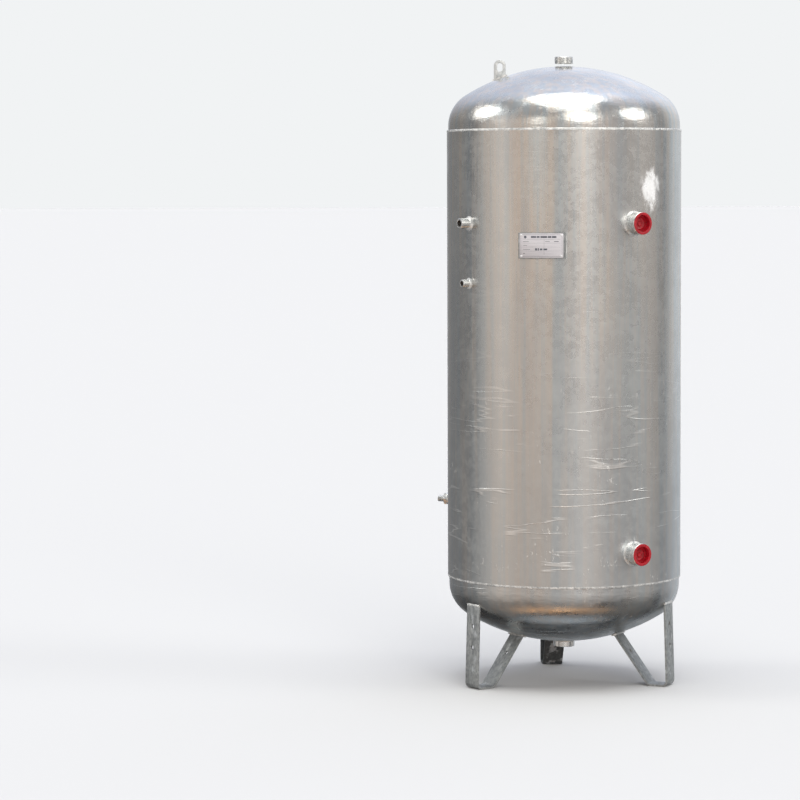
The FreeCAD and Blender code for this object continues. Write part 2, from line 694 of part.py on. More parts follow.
def bend_edges(shape, corners):
    """Names of the edges across the bar at the given corners of its outline."""
    names = []
    for index, edge in enumerate(shape.Edges, start=1):
        middle = edge.CenterOfMass
        straight = abs(edge.tangentAt(edge.FirstParameter).y) > 0.99
        near = any(abs(middle.x - value(x)) < 0.01 and abs(middle.z - value(z)) < 0.01 for x, z in corners)
        if straight and near:
            names.append(f"Edge{index}")
    return names


def add_fillet(body, name, corners, radius):
    base = body.Tip
    fillet = body.newObject("PartDesign::Fillet", name)
    fillet.Base = (base, bend_edges(base.Shape, corners))
    fillet.setExpression("Radius", radius)
    body.Tip = fillet
    doc.recompute()


add_fillet(leg_bar, "outer_bends", leg_outline[1:3], "sizes.bend_radius + sizes.bar_thickness")
add_fillet(leg_bar, "inner_bends", leg_outline[5:7], "sizes.bend_radius")

through_bar = "4 * sizes.bar_thickness"
strip_hole_start = f"{foot_outer} - 2.5 * sizes.bar_thickness"
leg_holes = [
    cylinder(f"{level}_strip_hole", "sizes.leg_hole_radius", through_bar,
             moved(strip_hole_start, up=f"sizes.{level}_leg_hole", lean="90"))
    for level in ("lower", "upper")
]
brace_hole_radius = f"({foot_inner} + {brace_shift} - sizes.brace_hole_height / {brace_run})"
brace_hole_step = moved(brace_hole_radius, up="sizes.brace_hole_height",
                        lean="sizes.brace_angle")
leg_holes.append(cylinder("brace_hole", "sizes.brace_hole_radius", through_bar,
                          f"{brace_hole_step} * {moved(up='-2 * sizes.bar_thickness')}"))
bend_half_brace = "tan(sizes.brace_angle / 2 * 1deg)"
outer_bend = "(sizes.bend_radius + sizes.bar_thickness)"
flat_outer = f"({foot_outer} - {outer_bend})"
flat_inner = f"({foot_inner} + {outer_bend} * {bend_half_brace})"
anchor_place = f"(({flat_outer} + {flat_inner}) / 2)"
leg_holes.append(cylinder("anchor_hole", "sizes.anchor_radius", through_bar, moved(anchor_place)))
leg_cutter = fuse("leg_cutter", leg_holes + [bottom_solid])

strip_bead_outline = [
    (f"{strip_top_radius} + sizes.strip_bead_overlap", strip_top),
    (f"{strip_top_radius} + sizes.strip_bead_overlap", f"{strip_top} + sizes.strip_bead_side"),
    (f"{strip_top_radius} - sizes.strip_bead_toe", f"{strip_top} + sizes.strip_bead"),
    (strip_inner_radius, f"{strip_top} + sizes.strip_bead"),
    (strip_inner_radius, strip_top),
]
strip_bead = flat_part("strip_bead", strip_bead_outline, "sizes.bar_width - 2 * sizes.strip_bead_inset")
weld_trim = fuse("weld_trim", [leg_bar, bottom_solid])
brace_collar_outline = [
    (f"{foot_inner} - {brace_shift} - {brace_top} / {brace_run}", brace_top),
    (f"{foot_inner} - {brace_shift} - sizes.brace_hole_height / {brace_run}", "sizes.brace_hole_height"),
    (f"{foot_inner} + 2 * {brace_shift} - sizes.brace_hole_height / {brace_run}",
     "sizes.brace_hole_height"),
    (f"{foot_inner} + 2 * {brace_shift} - {brace_top} / {brace_run}", brace_top),
]
brace_collar = flat_part("brace_collar", brace_collar_outline,
                         "sizes.bar_width + 2 * sizes.brace_bead")
brace_band = common("brace_band", brace_collar, bottom_weld_zone)

leg_turns = {"rear": 0, "front_left": 120, "front_right": 240}
for leg, turn in leg_turns.items():
    place = placed(turn=f"(sizes.rear_leg_angle + {turn})")
    cut(f"{leg}_leg", leg_bar, leg_cutter, place)
    cut(f"{leg}_strip_weld", strip_bead, bottom_solid, place)
    cut(f"{leg}_brace_weld", brace_band, weld_trim, place)

doc.recompute()

# ---------------------------------------------------------------- check and write
node_names = ["shell", "longitudinal_weld", "top_head", "bottom_head"]
node_names += ["top_girth_weld", "bottom_girth_weld", "top_nipple", "top_nipple_weld"]
node_names += ["lifting_eye", "lifting_eye_weld", "drain_socket", "drain_socket_weld"]
node_names += [f"{socket}_socket" for socket in shell_sockets]
node_names += [f"{socket}_socket_weld" for socket in shell_sockets]
node_names += ["upper_outlet_cap", "lower_outlet_cap", "inlet_adapter"]
node_names += ["nameplate_bracket", "bracket_weld_left", "bracket_weld_right", "nameplate"]
node_names += [f"nameplate_rivet_{number}" for number in range(1, 5)]
node_names += [f"{leg}_{part}" for leg in leg_turns for part in ("leg", "strip_weld", "brace_weld")]

for part in doc.Objects:
    failed = [state for state in part.State if state in ("Invalid", "Error")]
    if failed:
        raise RuntimeError(f"{part.Label} is {failed}")

os.makedirs("parts", exist_ok=True)
nodes = {name: doc.getObjectsByLabel(name)[0].Shape for name in node_names}
for name, shape in nodes.items():
    if shape.isNull() or not shape.isValid() or shape.Volume <= 0:
        raise RuntimeError(f"{name} has no valid solid")
for name, shape in nodes.items():
    shape.exportStep(f"parts/{name}.step")
    print(f"{name}: {len(shape.Solids)} solid, {shape.Volume / 1000:.1f} cm3")
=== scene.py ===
import json
import math

import bmesh
import bpy
from mathutils import Matrix, Vector, noise


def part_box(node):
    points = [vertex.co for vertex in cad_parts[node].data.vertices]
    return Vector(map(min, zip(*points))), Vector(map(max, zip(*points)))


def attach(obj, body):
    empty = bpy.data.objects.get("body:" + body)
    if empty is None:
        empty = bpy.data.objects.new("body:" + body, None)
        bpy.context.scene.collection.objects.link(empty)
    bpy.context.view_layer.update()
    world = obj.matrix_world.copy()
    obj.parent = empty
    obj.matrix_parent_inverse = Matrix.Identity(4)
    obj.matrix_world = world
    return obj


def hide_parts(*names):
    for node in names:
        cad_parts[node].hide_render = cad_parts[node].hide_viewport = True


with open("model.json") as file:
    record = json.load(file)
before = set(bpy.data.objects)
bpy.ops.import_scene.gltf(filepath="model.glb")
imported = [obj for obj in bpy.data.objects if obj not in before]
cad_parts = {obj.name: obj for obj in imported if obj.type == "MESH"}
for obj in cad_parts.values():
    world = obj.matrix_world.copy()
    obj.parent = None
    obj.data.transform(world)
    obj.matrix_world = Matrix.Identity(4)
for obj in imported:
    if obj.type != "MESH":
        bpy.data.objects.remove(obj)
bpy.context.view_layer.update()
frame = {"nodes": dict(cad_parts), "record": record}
mounts = {mount["name"]: mount for mount in frame["record"]["mounts"]}
print("frame loaded,", len(frame["nodes"]), "CAD nodes")


# Colours, nodes and materials

def toLinear(hexColour):
    # sRGB hex to the linear values that Blender works in
    channels = [int(hexColour[i:i + 2], 16) / 255 for i in (0, 2, 4)]
    return [c / 12.92 if c <= 0.04045 else ((c + 0.055) / 1.055) ** 2.4 for c in channels] + [1.0]


def addNode(tree, kind, inputs=None, **settings):
    # one node with its settings; a socket given as an input value is linked
    node = tree.nodes.new("ShaderNode" + kind)
    for key, value in settings.items():
        setattr(node, key, value)
    for key, value in (inputs or {}).items():
        if isinstance(value, bpy.types.NodeSocket):
            tree.links.new(value, node.inputs[key])
        else:
            node.inputs[key].default_value = value
    return node


def perMetre(millimetres):
    # the texture scale that gives a feature of this size
    return 1000 / millimetres


def startMaterial(name, **values):
    material = bpy.data.materials.new(name)
    material.use_nodes = True
    tree = material.node_tree
    tree.nodes.clear()
    shader = addNode(tree, "BsdfPrincipled", values)
    addNode(tree, "OutputMaterial", {"Surface": shader.outputs[0]})
    place = addNode(tree, "TexCoord").outputs["Object"]
    return material, tree, shader, place


def stretched(place, across, along):
    # object coordinates in which a feature of size 1 is this many millimetres across and tall
    scale = (perMetre(across), perMetre(across), perMetre(along))
    return addNode(place.id_data, "Mapping", {"Vector": place, "Scale": scale}).outputs[0]


def mottle(vector, detail=3.0, roughness=0.5):
    return addNode(vector.id_data, "TexNoise", {"Vector": vector, "Scale": 1.0, "Detail": detail,
                                                "Roughness": roughness}).outputs["Fac"]


def spread(value, low, high, toLow=0.0, toHigh=1.0):
    # one range of values turned into another, with soft ends
    return addNode(value.id_data, "MapRange", {"Value": value, "From Min": low, "From Max": high,
                                               "To Min": toLow, "To Max": toHigh},
                   interpolation_type="SMOOTHSTEP").outputs[0]


def combined(operation, first, second):
    return addNode(first.id_data, "Math", {0: first, 1: second}, operation=operation).outputs[0]


def blended(factor, first, second, mode="MIX"):
    return addNode(factor.id_data, "MixRGB", {"Fac": factor, "Color1": first, "Color2": second},
                   blend_type=mode).outputs[0]


def relief(shader, height, millimetres, strength=1.0):
    # a height from 0 to 1 turned into bumps this deep
    tree = height.id_data
    bump = addNode(tree, "Bump", {"Height": height, "Strength": strength, "Distance": millimetres / 1000})
    tree.links.new(bump.outputs[0], shader.inputs["Normal"])


def wire(source, shader, socket):
    source.id_data.links.new(source, shader.inputs[socket])


galvanising = {
    "warm": "dfd7cd",
    "cool": "cdd3d4",
    "dull": "b9bec2",
    "bright": "f0f0ee",
    "streakWidth": 26.0,    # vertical runs where the zinc drained off, which also carry painted warm and cool reflection bands
    "streakHeight": 1500.0,
    "spangleSize": 11.0,    # zinc crystals
    "lineSpacing": 44.0,    # level marks left as the tank came out of the bath
    "dripWidth": 9.0,
    "dripHeight": 22.0,
}


# painted highlights: bright white glare patches beside a weld, where the studio light glints, painted into
# the zinc's colour with its metallic sheen lowered: centre, and half sizes across and tall, in metres
upperPort = Vector(mounts["upper_outlet_port"]["pos_m"])
eyeFoot = sum(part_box("lifting_eye_weld"), Vector()) / 2
glintSpots = {
    "overOutlet": ((upperPort.x * 1.10, upperPort.y * 0.76, upperPort.z + 0.108), 0.042, 0.070),
    "besideEye": ((eyeFoot.x + 0.030, eyeFoot.y - 0.016, eyeFoot.z + 0.010), 0.042, 0.036),
}


def glintMask(place, centre, across, tall):
    # 1 inside a ragged patch of this size and 0 outside it: the mask of a painted highlight
    tree = place.id_data
    away = addNode(tree, "VectorMath", {0: place, 1: centre}, operation="SUBTRACT").outputs[0]
    inverse = (1 / across, 1 / across, 1 / tall)
    scaled = addNode(tree, "VectorMath", {0: away, 1: inverse}, operation="MULTIPLY").outputs[0]
    distance = addNode(tree, "VectorMath", {0: scaled}, operation="LENGTH").outputs["Value"]
    ragged = combined("ADD", distance,
                      spread(mottle(stretched(place, 18.0, 30.0), 3.0, 0.5), 0.3, 0.7, -0.22, 0.22))
    return spread(ragged, 0.35, 1.20, 1.0, 0.0)


def hotDipZinc(name, upper):
    # hot-dip galvanised steel sheet: a hard metallic sheen that is blurred in patches, with crystals, runs
    # and level marks, painted warm and cool reflection bands along the runs, and a painted white glare patch
    g = galvanising
    material, tree, shader, place = startMaterial(name, Metallic=1.0)
    height = addNode(tree, "SeparateXYZ", {"Vector": place}).outputs["Z"]
    runsAndBands = mottle(stretched(place, g["streakWidth"], g["streakHeight"]), 4.0, 0.62)
    broad = mottle(stretched(place, 150.0, 900.0), 2.0)
    clouds = mottle(stretched(place, 90.0, 60.0), 5.0, 0.6)
    spangle = addNode(tree, "TexVoronoi",
                      {"Vector": stretched(place, g["spangleSize"], g["spangleSize"] * 1.3),
                       "Scale": 1.0, "Randomness": 1.0}).outputs["Color"]
    crystal = addNode(tree, "SeparateColor", {"Color": spangle}).outputs[0]
    levels = mottle(stretched(place, 520.0, g["lineSpacing"]), 2.0, 0.5)
    level = spread(combined("ABSOLUTE", combined("SUBTRACT", levels, 0.5), 0.0), 0.0, 0.018, 1.0, 0.0)
    patches = spread(mottle(stretched(place, 200.0, 90.0), 2.0), 0.50, 0.60)
    drips = spread(mottle(stretched(place, g["dripWidth"], g["dripHeight"]), 3.0, 0.6), 0.60, 0.70)
    dripPatches = spread(mottle(stretched(place, 130.0, 110.0), 2.0), 0.52, 0.64)
    # the sheet is made duller and darker towards the foot of the tank
    lower = spread(height, 0.35, 1.35, 1.0, 0.0)
    levelMarks = combined("MULTIPLY", combined("MULTIPLY", level, patches),
                          spread(lower, 0.0, 0.8, 0.12, 1.0))
    dripMarks = combined("MULTIPLY", combined("MULTIPLY", drips, dripPatches),
                         spread(lower, 0.0, 0.8, 0.15, 1.0))

    # painted reflection: warm and cool vertical bands along the zinc runs stand in for the studio's
    # reflections
    colour = blended(spread(runsAndBands, 0.36, 0.64), toLinear(g["warm"]), toLinear(g["cool"]))
    colour = blended(spread(broad, 0.4, 0.62, 0.0, 0.4), colour, toLinear(g["dull"]))
    colour = blended(combined("MULTIPLY", lower, 0.42), colour, toLinear(g["dull"]))
    colour = blended(spread(crystal, 0.0, 1.0, 0.0, 0.06), colour, toLinear(g["bright"]))
    colour = blended(combined("MULTIPLY", levelMarks, 0.75), colour, toLinear(g["bright"]))
    colour = blended(combined("MULTIPLY", dripMarks, 0.8), colour, toLinear(g["bright"]))
    # painted highlight: a white glare patch beside the lifting eye on the head, or over the upper outlet on
    # the shell
    glint = glintMask(place, *glintSpots["besideEye" if upper else "overOutlet"])
    colour = blended(glint, colour, toLinear("fbfbfa"))
    wire(colour, shader, "Base Color")
    wire(spread(glint, 0.0, 1.0, 1.0, 0.15), shader, "Metallic")

    rough = spread(clouds, 0.3, 0.7, 0.16, 0.30) if upper else spread(clouds, 0.3, 0.7, 0.22, 0.32)
    rough = combined("ADD", rough, spread(crystal, 0.0, 1.0, -0.03, 0.04))
    rough = combined("ADD", rough, combined("MULTIPLY", lower, 0.09))
    rough = combined("ADD", rough, combined("MULTIPLY", dripMarks, 0.2))
    wire(rough, shader, "Roughness")

    bumps = combined("MULTIPLY", runsAndBands, 0.5)
    if upper:
        # ragged strokes across the dished end, left by its pressing
        bumps = combined("ADD", bumps,
                         combined("MULTIPLY", mottle(stretched(place, 46.0, 11.0), 4.0, 0.6), 0.75))
    bumps = combined("ADD", bumps, combined("MULTIPLY", levelMarks, 0.45))
    bumps = combined("ADD", bumps, combined("MULTIPLY", dripMarks, 0.55))
    bumps = combined("ADD", bumps, combined("MULTIPLY", clouds, 1.3 if upper else 0.35))
    bumps = combined("ADD", bumps, combined("MULTIPLY", mottle(stretched(place, 5.0, 7.0), 2.0), 0.02))
    relief(shader, bumps, 0.9)
    return material


def barZinc(name, dark, light):
    # hot-dip galvanised flat bar: matt grey alloyed zinc with white blotches and a few dark specks
    material, tree, shader, place = startMaterial(name, Metallic=0.6)
    patches = mottle(stretched(place, 30.0, 36.0), 5.0, 0.62)
    specks = spread(mottle(stretched(place, 6.0, 9.0), 3.0), 0.66, 0.74)
    bloom = spread(patches, 0.54, 0.68)
    colour = blended(spread(mottle(stretched(place, 9.0, 12.0), 3.0), 0.3, 0.7), toLinear(dark),
                     toLinear(light))
    colour = blended(combined("MULTIPLY", bloom, 0.55), colour, toLinear("d5d9dc"))
    colour = blended(combined("MULTIPLY", specks, 0.7), colour, toLinear("4c5052"))
    wire(colour, shader, "Base Color")
    wire(spread(patches, 0.3, 0.7, 0.42, 0.62), shader, "Roughness")
    relief(shader, mottle(stretched(place, 4.0, 4.0), 4.0, 0.6), 0.35)
    return material


def turnedZinc():
    # turned steel with a fresh zinc coat: pale and bright, with fine tool marks and a faint mottle
    material, tree, shader, place = startMaterial("turnedZinc", Metallic=0.9)
    cloud = mottle(stretched(place, 14.0, 14.0), 4.0, 0.6)
    colour = blended(spread(cloud, 0.35, 0.65), toLinear("d3d5d5"), toLinear("f3f3f1"))
    wire(colour, shader, "Base Color")
    wire(spread(cloud, 0.3, 0.7, 0.20, 0.34), shader, "Roughness")
    relief(shader, mottle(stretched(place, 1.5, 1.5), 3.0), 0.08)
    return material


def tappedSteelWithBoreShade():
    # threads tapped after the zinc bath: bare, oiled steel, painted much darker than steel as the shade
    # inside the bore
    material, tree, shader, place = startMaterial("tappedSteelWithBoreShade", Metallic=1.0)
    cloud = mottle(stretched(place, 6.0, 6.0), 4.0, 0.6)
    wire(blended(spread(cloud, 0.35, 0.65), toLinear("3d3a38"), toLinear("5d5854")), shader, "Base Color")
    wire(spread(cloud, 0.3, 0.7, 0.38, 0.55), shader, "Roughness")
    relief(shader, mottle(stretched(place, 1.2, 1.2), 3.0), 0.06)
    return material


def weldZinc():
    # a weld bead under zinc: brighter and rougher than the sheet beside it
    material, tree, shader, place = startMaterial("weldZinc", Metallic=0.55)
    cloud = mottle(stretched(place, 14.0, 14.0), 4.0, 0.65)
    colour = blended(spread(cloud, 0.35, 0.68), toLinear("b9bbba"), toLinear("f3f2ef"))
    wire(colour, shader, "Base Color")
    wire(spread(cloud, 0.3, 0.7, 0.28, 0.48), shader, "Roughness")
    relief(shader, mottle(stretched(place, 2.5, 2.5), 3.0), 0.25)
    return material


def redPolythene():
    # moulded low-density polythene: soft gloss, slightly waxy, a little light through the thin walls
    material, tree, shader, place = startMaterial("redPolythene", IOR=1.51)
    shader.inputs["Subsurface Weight"].default_value = 0.08
    shader.inputs["Subsurface Radius"].default_value = (0.004, 0.0008, 0.0006)
    cloud = mottle(stretched(place, 9.0, 9.0), 3.0)
    wire(blended(spread(cloud, 0.35, 0.65), toLinear("9a0617"), toLinear("b30b20")), shader, "Base Color")
    wire(spread(cloud, 0.3, 0.7, 0.34, 0.46), shader, "Roughness")
    relief(shader, mottle(stretched(place, 0.8, 0.8), 2.0), 0.03)
    return material


def anodisedPlate():
    # satin anodised aluminium sheet: pale, with a fine brushed grain along its length
    material, tree, shader, place = startMaterial("anodisedPlate", Metallic=0.75)
    grain = mottle(stretched(place, 30.0, 0.7), 3.0)
    wire(blended(spread(grain, 0.3, 0.7), toLinear("d6d3d8"), toLinear("e6e4e8")), shader, "Base Color")
    wire(spread(grain, 0.3, 0.7, 0.36, 0.46), shader, "Roughness")
    relief(shader, grain, 0.02)
    return material


def brightAluminium():
    # pulled aluminium rivets: smooth and bright, with a faint haze
    material, tree, shader, place = startMaterial("brightAluminium", Metallic=0.5)
    haze = mottle(stretched(place, 2.0, 2.0), 3.0)
    wire(blended(spread(haze, 0.3, 0.7), toLinear("f0f1f2"), toLinear("ffffff")), shader, "Base Color")
    wire(spread(haze, 0.3, 0.7, 0.24, 0.36), shader, "Roughness")
    relief(shader, haze, 0.02)
    return material


def printedInk():
    # dark screen-printed ink: matt, slightly worn
    material, tree, shader, place = startMaterial("printedInk", Roughness=0.6)
    worn = spread(mottle(stretched(place, 3.0, 3.0), 4.0), 0.35, 0.75)
    wire(blended(worn, toLinear("3a3d46"), toLinear("767a84")), shader, "Base Color")
    return material


sheetZinc = hotDipZinc("hotDipSheet", False)
headZinc = hotDipZinc("hotDipHead", True)
barFinish = barZinc("barZinc", "888c8d", "a5a8a8")
# painted shade: the bar at the back, in the tank's shadow, is given a darker copy of the bar zinc
rearShadeFinish = barZinc("shadedBarZinc", "46494a", "5b5f60")
# painted highlight: a paler copy of the bar zinc for the lifting eye, which sits on top in the overhead
# light
eyeLitFinish = barZinc("litPaleBarZinc", "bfc3c4", "dfe1e0")
fittingFinish = turnedZinc()
threadAndBoreShadeFinish = tappedSteelWithBoreShade()
weldFinish = weldZinc()
capFinish = redPolythene()
plateFinish = anodisedPlate()
rivetFinish = brightAluminium()
inkFinish = printedInk()
print("materials made")


# Mesh tools

def nodePoints(node):
    return [vertex.co for vertex in frame["nodes"][node].data.vertices]


def portPlace(axis):
    # local z runs along the port, local y stands up
    axis = Vector(axis).normalized()
    side = Vector((0, 0, 1)).cross(axis) if abs(axis.z) < 0.9 else Vector((1, 0, 0))
    side.normalize()
    return Matrix((side, axis.cross(side), axis)).transposed().to_4x4()


def measured(node, place):
    # lowest and highest corner of a CAD node as seen along a place's own axes, and how far out it reaches
    local = [place.inverted() @ point for point in nodePoints(node)]
    low = Vector([min(p[i] for p in local) for i in range(3)])
    high = Vector([max(p[i] for p in local) for i in range(3)])
    return low, high, max(math.hypot(p.x, p.y) for p in local)


def lathe(outline, steps=96, closed=True):
    # one sector is spun and then repeated round the axis
    mesh = bmesh.new()
    corners = [mesh.verts.new((radius, 0, height)) for radius, height in outline]
    edges = [mesh.edges.new(pair) for pair in zip(corners, corners[1:])]
    if closed:
        edges.append(mesh.edges.new((corners[-1], corners[0])))
    sectors = next(number for number in (16, 12, 8, 6, 4, 3, 2, 1) if steps % number == 0)
    bmesh.ops.spin(mesh, geom=corners + edges, cent=(0, 0, 0), axis=(0, 0, 1), angle=math.tau / sectors,
                   steps=steps // sectors, use_merge=False)
    sector = mesh.verts[:] + mesh.edges[:] + mesh.faces[:]
    for number in range(1, sectors):
        copy = bmesh.ops.duplicate(mesh, geom=sector)["geom"]
        bmesh.ops.rotate(mesh, cent=(0, 0, 0), matrix=Matrix.Rotation(math.tau * number / sectors, 3, "Z"),
                         verts=[item for item in copy if isinstance(item, bmesh.types.BMVert)])
    bmesh.ops.remove_doubles(mesh, verts=mesh.verts, dist=1e-6)
    bmesh.ops.recalc_face_normals(mesh, faces=mesh.faces)
    return mesh


def softenEdges(mesh, width, segments=2, angle=30, where=None):
    sharp = [edge for edge in mesh.edges if len(edge.link_faces) == 2
             and edge.calc_face_angle(0) > math.radians(angle) and (where is None or where(edge))]
    bmesh.ops.bevel(mesh, geom=sharp, offset=width, offset_type="OFFSET", segments=segments, profile=0.5,
                    affect="EDGES", material=-1, clamp_overlap=True)


def growRing(mesh, ring, radius, height):
    # carries an open ring of edges on to a new radius and height
    grown = bmesh.ops.extrude_edge_only(mesh, edges=ring)["geom"]
    for item in grown:
        if isinstance(item, bmesh.types.BMVert):
            flat = Vector((item.co.x, item.co.y, 0)).normalized() * radius
            item.co = flat + Vector((0, 0, height))
    return [item for item in grown if isinstance(item, bmesh.types.BMEdge) and item.is_boundary
            and all(abs(vert.co.z - height) < 1e-7 and abs(vert.co.to_2d().length - radius) < 1e-6
                    for vert in item.verts)]


def openRing(mesh, height):
    return [edge for edge in mesh.edges if edge.is_boundary
            and all(abs(vert.co.z - height) < 1e-6 for vert in edge.verts)]


def cutThread(root, crest, pitch, low, high, lowRadius, highRadius, steps=72):
    # a rounded pipe thread between two heights, run out to a plain circle at each end
    mesh = bmesh.new()
    flank = [(0.0, 0.0), (0.12, 0.10), (0.88, 0.40), (1.0, 0.5), (0.88, 0.60), (0.12, 0.90), (0.0, 1.0)]
    start = low - pitch
    corners = [mesh.verts.new((root + (crest - root) * depth, 0, start + pitch * rise))
               for depth, rise in flank]
    edges = [mesh.edges.new(pair) for pair in zip(corners, corners[1:])]
    # one turn of the helix, then the others stacked on it
    bmesh.ops.spin(mesh, geom=corners + edges, cent=(0, 0, 0), axis=(0, 0, 1), dvec=(0, 0, pitch / steps),
                   angle=math.tau, steps=steps, use_merge=False)
    turn = mesh.verts[:] + mesh.edges[:] + mesh.faces[:]
    for number in range(1, math.ceil((high - low) / pitch) + 2):
        copy = bmesh.ops.duplicate(mesh, geom=turn)["geom"]
        bmesh.ops.translate(mesh, vec=(0, 0, pitch * number),
                            verts=[item for item in copy if isinstance(item, bmesh.types.BMVert)])
    bmesh.ops.remove_doubles(mesh, verts=mesh.verts, dist=1e-6)
    for height, side in ((low, -1), (high, 1)):
        bmesh.ops.bisect_plane(mesh, geom=mesh.verts[:] + mesh.edges[:] + mesh.faces[:], dist=1e-7,
                               plane_co=(0, 0, height), plane_no=(0, 0, side), clear_outer=True)
    inside = crest < root
    for vert in mesh.verts:
        radius = vert.co.to_2d().length
        limits = (lowRadius, vert.co.z - low), (highRadius, high - vert.co.z)
        for limit, away in limits:
            if inside and limit >= root or not inside and limit > root:
                wanted = limit - away if inside else limit + away
                wanted = max(radius, wanted) if inside else min(radius, wanted)
            else:
                wanted = max(min(radius, limit + away), limit - away)
            radius = wanted
        vert.co = Vector((vert.co.x, vert.co.y, 0)).normalized() * radius + Vector((0, 0, vert.co.z))
    return mesh


def finishPiece(name, mesh, place, finishes, body, nodes, sharp=32):
    bmesh.ops.remove_doubles(mesh, verts=mesh.verts, dist=1e-6)
    bmesh.ops.recalc_face_normals(mesh, faces=mesh.faces)
    bmesh.ops.transform(mesh, matrix=place, verts=mesh.verts)
    for face in mesh.faces:
        face.smooth = True
    for edge in mesh.edges:
        edge.smooth = len(edge.link_faces) != 2 or edge.calc_face_angle(0) < math.radians(sharp)
    data = bpy.data.meshes.new(name)
    mesh.to_mesh(data)
    mesh.free()
    for finish in finishes:
        data.materials.append(finish)
    piece = bpy.data.objects.new(name, data)
    bpy.context.scene.collection.objects.link(piece)
    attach(piece, body)
    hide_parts(*nodes)
    return piece


def fishScale(along, across, pitch):
    # the overlapping ripples of a weld, 0 in the valleys and 1 on the crests; across runs from -1 to 1
    phase = (along + 0.35 * pitch * across * across) / pitch
    phase += 0.25 * noise.noise(Vector((along * 60, 0.3, 0.7)))
    return 1 - abs(2 * (phase % 1.0) - 1) ** 1.6


# Shell and heads stay as the CAD has them

frame["nodes"]["shell"].data.materials[0] = sheetZinc
for node in ("top_head", "bottom_head"):
    frame["nodes"][node].data.materials[0] = headZinc


# Girth welds: one rippled bead round each joint between a head and the shell

girthWeld = {
    "ripplePitch": 0.009,
    "rippleDepth": 0.0006,
    "swellDepth": 0.0006,
    "stepsPerRipple": 4,
    "sunk": 0.001,          # how far the bead reaches into the sheet
    "crownSteps": 8,
    "squareness": 0.4,      # below 1 makes the crown fuller than a round one
    "waviness": 0.07,       # how far the upper edge wanders, as a share of the bead's height
}


def makeGirthWeld(name, node, up):
    low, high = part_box(node)
    outer = high.x
    shellSide, headSide = (low.z, high.z) if up else (high.z, low.z)
    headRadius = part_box("top_head")[1].x
    # the bead runs from the shell's edge over a rounded crown to the head
    g = girthWeld
    sunk = g["sunk"]
    crown = []
    for step in range(g["crownSteps"] + 1):
        turn = math.pi / 2 * step / g["crownSteps"]
        radius = headRadius + (outer - 0.0001 - headRadius) * math.cos(turn) ** g["squareness"]
        crown.append((radius, shellSide + (headSide - shellSide) * math.sin(turn)))
    outline = [(headRadius - sunk, shellSide)] + crown + [(headRadius - sunk, headSide)]
    ripples = round(math.tau * outer / g["ripplePitch"])
    mesh = lathe(outline, ripples * g["stepsPerRipple"])
    for vert in mesh.verts:
        radius = vert.co.to_2d().length
        if radius < headRadius:
            continue
        angle = math.atan2(vert.co.y, vert.co.x)
        across = 2 * (vert.co.z - shellSide) / (headSide - shellSide) - 1
        valley = 1 - fishScale(angle * outer, across, math.tau * outer / ripples)
        swell = 0.5 + 0.5 * noise.noise(Vector((math.cos(angle) * 9, math.sin(angle) * 9, shellSide)))
        drop = g["rippleDepth"] * valley + g["swellDepth"] * swell
        radius = max(headRadius - sunk, radius - drop * (1 - across * 0.3))
        wave = noise.noise(Vector((math.cos(angle) * 14, math.sin(angle) * 14, 2.0)))
        height = vert.co.z + (headSide - shellSide) * g["waviness"] * wave * (1 + across) / 2
        vert.co = Vector((math.cos(angle), math.sin(angle), 0)) * radius + Vector((0, 0, height))
    finishPiece(name, mesh, Matrix.Identity(4), [weldFinish], "tank", [node], 60)


makeGirthWeld("topGirthBead", "top_girth_weld", True)
makeGirthWeld("bottomGirthBead", "bottom_girth_weld", False)


# The long weld that closes the rolled shell, at the back

seamWeld = {"ripplePitch": 0.008, "rippleDepth": 0.0005, "halfWidth": 0.0048, "rise": 0.0011,
            "thickness": 0.0012, "columns": 10}


def makeSeamWeld():
    low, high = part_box("longitudinal_weld")
    middle = (low + high) / 2
    place = portPlace((middle.x, middle.y, 0))
    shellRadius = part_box("shell")[1].x
    s = seamWeld
    mesh = bmesh.new()
    steps = round((high.z - low.z) / s["ripplePitch"]) * 3
    # a flat strip, raised in the middle of its width and closed underneath
    bmesh.ops.create_grid(mesh, x_segments=s["columns"], y_segments=steps, size=0.5)
    for vert in mesh.verts:
        across, along = vert.co.x * 2, low.z + (vert.co.y + 0.5) * (high.z - low.z)
        ripple = s["rippleDepth"] * (1 - fishScale(along, across, s["ripplePitch"]))
        rise = (s["rise"] - ripple) * (1 - across * across) - 0.0002 * abs(across)
        curve = s["halfWidth"] ** 2 * across * across / 2 / shellRadius
        vert.co = Vector((across * s["halfWidth"], along, shellRadius + rise - curve))
    under = bmesh.ops.extrude_face_region(mesh, geom=mesh.faces[:])["geom"]
    bmesh.ops.translate(mesh, vec=(0, 0, -s["thickness"]),
                        verts=[item for item in under if isinstance(item, bmesh.types.BMVert)])
    finishPiece("longSeamBead", mesh, place, [weldFinish], "tank", ["longitudinal_weld"], 60)


makeSeamWeld()
print("welds along the shell made")


# Sockets: half couplings with a pipe thread inside, and their fillet welds

socketSizes = {
    # thread pitch and thread depth by socket, standard pipe threads
    "upper_outlet": {"pitch": 0.002309, "minor": 0.02833, "depth": 0.001479, "port": "upper_outlet_port"},
    "lower_outlet": {"pitch": 0.002309, "minor": 0.02833, "depth": 0.001479, "port": "lower_outlet_port"},
    "gauge": {"pitch": 0.001814, "minor": 0.009315, "depth": 0.001162, "port": "gauge_port",
              "pilot": 0.008},
    "switch": {"pitch": 0.001337, "minor": 0.007475, "depth": 0.000856, "port": "switch_port",
               "pilot": 0.006},
    "inlet": {"pitch": 0.002309, "minor": 0.015145, "depth": 0.001479, "port": "inlet_hose_end"},
    "drain": {"pitch": 0.002309, "minor": 0.02833, "depth": 0.001479, "port": "drain_port"},
}
socketTurning = {"chamfer": 0.0015}


